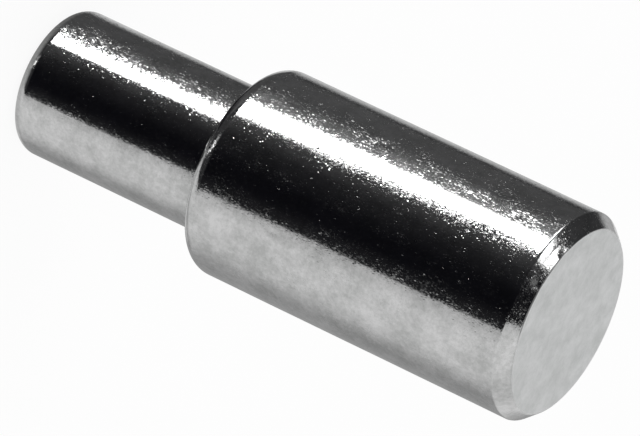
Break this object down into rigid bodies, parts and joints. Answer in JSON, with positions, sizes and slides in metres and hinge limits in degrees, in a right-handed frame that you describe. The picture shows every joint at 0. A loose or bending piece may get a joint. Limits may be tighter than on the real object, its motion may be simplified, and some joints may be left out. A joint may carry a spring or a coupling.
{
  "type": "shelf support pin",
  "caption": "Stepped round steel pin: the narrow end pushes into a drilled hole up to its shoulder, and the wider body carries a shelf.",
  "frame": {"origin": "centre of the narrow pin's free end face, which the part stands on", "axes": "+Z along the axis, from the narrow pin to the wider body; X and Y are any two directions across it, as the part is round"},
  "size_m": [0.007, 0.007, 0.0196],
  "materials": {
    "plated_steel": "gloss"
  },
  "bodies": {
    "root": {"shelf_pin": "plated_steel"}
  },
  "joints": []
}
